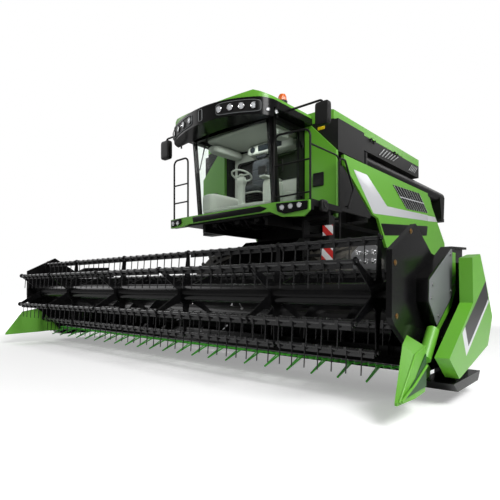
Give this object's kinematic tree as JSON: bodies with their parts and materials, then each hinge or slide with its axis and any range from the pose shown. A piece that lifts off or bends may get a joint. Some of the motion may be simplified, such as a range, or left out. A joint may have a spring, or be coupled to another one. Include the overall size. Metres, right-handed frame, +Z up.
{
  "type": "combine harvester",
  "caption": "Self-propelled combine harvester with a grain header, tined reel, glazed cab, grain tank under folding lids, side panels and a swinging unloading auger.",
  "frame": {"origin": "on the ground under the middle of the whole outline, header included", "axes": "+Y to the machine's rear, +X to its left side, +Z up; the header is at -Y"},
  "size_m": [7.64, 8.6, 4.07],
  "materials": {
    "lime_paint": "gloss",
    "dark_green_paint": "gloss",
    "black_paint": "satin",
    "grey_paint": "satin",
    "white_paint": "gloss",
    "black_plastic": "satin",
    "pale_plastic": "satin",
    "lamp_lens": "clear",
    "tyre_rubber": "matte",
    "tinted_glass": "clear",
    "seat_fabric": "woven",
    "bare_steel": "brushed",
    "iron": "rough"
  },
  "bodies": {
    "machine": {"chassis_rails": "grey_paint", "front_axle": "grey_paint", "rear_axle": "grey_paint", "separator_housing": "black_paint", "straw_hood": "lime_paint", "straw_chopper": "black_paint", "engine_block": "iron", "engine_deck": "black_plastic", "engine_hood": "lime_paint", "grain_tank": "black_plastic", "arch_panels": "black_plastic", "corner_panels": "lime_paint", "platform": "black_paint", "platform_fascia": "lime_paint", "cab_shell": "black_paint", "cab_roof": "lime_paint", "roof_visor": "black_plastic", "cab_glass": "tinted_glass", "driver_seat": "seat_fabric", "cab_controls": "pale_plastic", "handrails": "black_paint", "mirrors": "black_plastic", "work_lamps": "lamp_lens"},
    "header": {"feeder_house": "black_paint", "header_trough": "black_paint", "knife_bar": "dark_green_paint", "crop_dividers": "lime_paint", "header_drives": "black_paint", "drive_shields": "lime_paint"},
    "lift_barrel_pair": {"lift_barrels": "black_paint"},
    "lift_rod_pair": {"lift_rods": "bare_steel"},
    "auger": {"intake_auger": "black_paint"},
    "reel_arm_pair": {"reel_arms": "black_paint"},
    "reel_carrier_pair": {"reel_carriers": "grey_paint"},
    "reel": {"reel_core": "black_paint"},
    "unloader": {"unloading_auger": "black_paint"},
    "door": {"cab_door": "black_paint", "door_glass": "tinted_glass"},
    "access_ladder": {"ladder": "black_paint"},
    "panel_left": {"side_panel_left": "lime_paint"},
    "panel_right": {"side_panel_right": "lime_paint"},
    "lid_left": {"tank_lid_left": "lime_paint"},
    "lid_right": {"tank_lid_right": "lime_paint"},
    "front_wheel_left": {"front_tyre_left": "tyre_rubber", "front_rim_left": "grey_paint"},
    "front_wheel_right": {"front_tyre_right": "tyre_rubber", "front_rim_right": "grey_paint"},
    "steering_left": {"knuckle_left": "grey_paint"},
    "steering_right": {"knuckle_right": "grey_paint"},
    "steering_tie": {"tie_rod": "bare_steel"},
    "rear_wheel_left": {"rear_tyre_left": "tyre_rubber", "rear_rim_left": "grey_paint"},
    "rear_wheel_right": {"rear_tyre_right": "tyre_rubber", "rear_rim_right": "grey_paint"},
    "bat_1": {"reel_bat_1": "black_paint"},
    "bat_2": {"reel_bat_2": "black_paint"},
    "bat_3": {"reel_bat_3": "black_paint"},
    "bat_4": {"reel_bat_4": "black_paint"},
    "bat_5": {"reel_bat_5": "black_paint"},
    "bat_6": {"reel_bat_6": "black_paint"}
  },
  "joints": [
    {"name": "front_wheel_left_spin", "type": "hinge", "parent": "machine", "child": "front_wheel_left", "pos_m": [1.27, -0.65, 0.93], "axis": [1, 0, 0], "continuous": true},
    {"name": "front_wheel_right_spin", "type": "hinge", "parent": "machine", "child": "front_wheel_right", "pos_m": [-1.27, -0.65, 0.93], "axis": [1, 0, 0], "continuous": true},
    {"name": "steer_left", "type": "hinge", "parent": "machine", "child": "steering_left", "pos_m": [0.88, 3.15, 0.66], "axis": [0, 0, 1], "range_deg": [-40, 40]},
    {"name": "steer_right", "type": "hinge", "parent": "machine", "child": "steering_right", "pos_m": [-0.88, 3.15, 0.66], "axis": [0, 0, 1], "range_deg": [-40, 40]},
    {"name": "tie_rod_pivot", "type": "hinge", "parent": "steering_left", "child": "steering_tie", "pos_m": [0.88, 3.38, 0.48], "axis": [0, 0, 1], "range_deg": [-40, 40]},
    {"name": "rear_wheel_left_spin", "type": "hinge", "parent": "steering_left", "child": "rear_wheel_left", "pos_m": [1.25, 3.15, 0.66], "axis": [1, 0, 0], "continuous": true},
    {"name": "rear_wheel_right_spin", "type": "hinge", "parent": "steering_right", "child": "rear_wheel_right", "pos_m": [-1.25, 3.15, 0.66], "axis": [1, 0, 0], "continuous": true},
    {"name": "header_lift", "type": "hinge", "parent": "machine", "child": "header", "pos_m": [0, -0.85, 1.65], "axis": [-1, 0, 0], "range_deg": [-2, 14]},
    {"name": "lift_barrel_pivot", "type": "hinge", "parent": "machine", "child": "lift_barrel_pair", "pos_m": [0, -0.8, 0.7], "axis": [-1, 0, 0], "range_deg": [-2.2, 14.5]},
    {"name": "lift_stroke", "type": "slide", "parent": "lift_barrel_pair", "child": "lift_rod_pair", "axis": [0, -0.9959, -0.0905], "range_m": [-0.034, 0.235]},
    {"name": "intake_auger_spin", "type": "hinge", "parent": "header", "child": "auger", "pos_m": [0, -2.73, 0.584], "axis": [1, 0, 0], "continuous": true},
    {"name": "reel_lift", "type": "hinge", "parent": "header", "child": "reel_arm_pair", "pos_m": [0, -2.325, 1.34], "axis": [-1, 0, 0], "range_deg": [0, 25]},
    {"name": "reel_fore_aft", "type": "slide", "parent": "reel_arm_pair", "child": "reel_carrier_pair", "axis": [0, 0.9674, 0.2533], "range_m": [0, 0.2]},
    {"name": "reel_spin", "type": "hinge", "parent": "reel_carrier_pair", "child": "reel", "pos_m": [0, -3.746, 0.968], "axis": [1, 0, 0], "continuous": true},
    {"name": "unloader_swing", "type": "hinge", "parent": "machine", "child": "unloader", "pos_m": [1.27, -0.2, 3.29], "axis": [0, 0, -1], "range_deg": [0, 95]},
    {"name": "door_swing", "type": "hinge", "parent": "machine", "child": "door", "pos_m": [0.926, -1.464, 2.9], "axis": [0, 0, 1], "range_deg": [0, 65]},
    {"name": "ladder_swing", "type": "hinge", "parent": "machine", "child": "access_ladder", "pos_m": [1.545, -1.7, 2.1], "axis": [0, 0, 1], "range_deg": [0, 90]},
    {"name": "panel_left_lift", "type": "hinge", "parent": "machine", "child": "panel_left", "pos_m": [1.478, 0, 3.122], "axis": [0, -1, 0], "range_deg": [0, 70]},
    {"name": "panel_right_lift", "type": "hinge", "parent": "machine", "child": "panel_right", "pos_m": [-1.478, 0, 3.122], "axis": [0, 1, 0], "range_deg": [0, 70]},
    {"name": "lid_left_fold", "type": "hinge", "parent": "machine", "child": "lid_left", "pos_m": [1.436, 0, 3.694], "axis": [0, 1, 0], "range_deg": [0, 100]},
    {"name": "lid_right_fold", "type": "hinge", "parent": "machine", "child": "lid_right", "pos_m": [-1.436, 0, 3.694], "axis": [0, -1, 0], "range_deg": [0, 100]},
    {"name": "bat_1_pivot", "type": "hinge", "parent": "reel", "child": "bat_1", "pos_m": [0, -3.71617, 1.47012], "axis": [1, 0, 0], "continuous": true},
    {"name": "bat_2_pivot", "type": "hinge", "parent": "reel", "child": "bat_2", "pos_m": [0, -4.16593, 1.24489], "axis": [1, 0, 0], "continuous": true},
    {"name": "bat_3_pivot", "type": "hinge", "parent": "reel", "child": "bat_3", "pos_m": [0, -4.19576, 0.74278], "axis": [1, 0, 0], "continuous": true},
    {"name": "bat_4_pivot", "type": "hinge", "parent": "reel", "child": "bat_4", "pos_m": [0, -3.77583, 0.46588], "axis": [1, 0, 0], "continuous": true},
    {"name": "bat_5_pivot", "type": "hinge", "parent": "reel", "child": "bat_5", "pos_m": [0, -3.32607, 0.69111], "axis": [1, 0, 0], "continuous": true},
    {"name": "bat_6_pivot", "type": "hinge", "parent": "reel", "child": "bat_6", "pos_m": [0, -3.29624, 1.19322], "axis": [1, 0, 0], "continuous": true}
  ],
  "couplings": [
    {"joint": "steer_right", "follows": "steer_left", "ratio": 1},
    {"joint": "tie_rod_pivot", "follows": "steer_left", "ratio": -1},
    {"joint": "lift_barrel_pivot", "follows": "header_lift", "ratio": 0.939},
    {"joint": "lift_stroke", "follows": "header_lift", "m_per_rad": 0.9455},
    {"joint": "bat_1_pivot", "follows": "reel_spin", "ratio": -1},
    {"joint": "bat_2_pivot", "follows": "reel_spin", "ratio": -1},
    {"joint": "bat_3_pivot", "follows": "reel_spin", "ratio": -1},
    {"joint": "bat_4_pivot", "follows": "reel_spin", "ratio": -1},
    {"joint": "bat_5_pivot", "follows": "reel_spin", "ratio": -1},
    {"joint": "bat_6_pivot", "follows": "reel_spin", "ratio": -1}
  ]
}
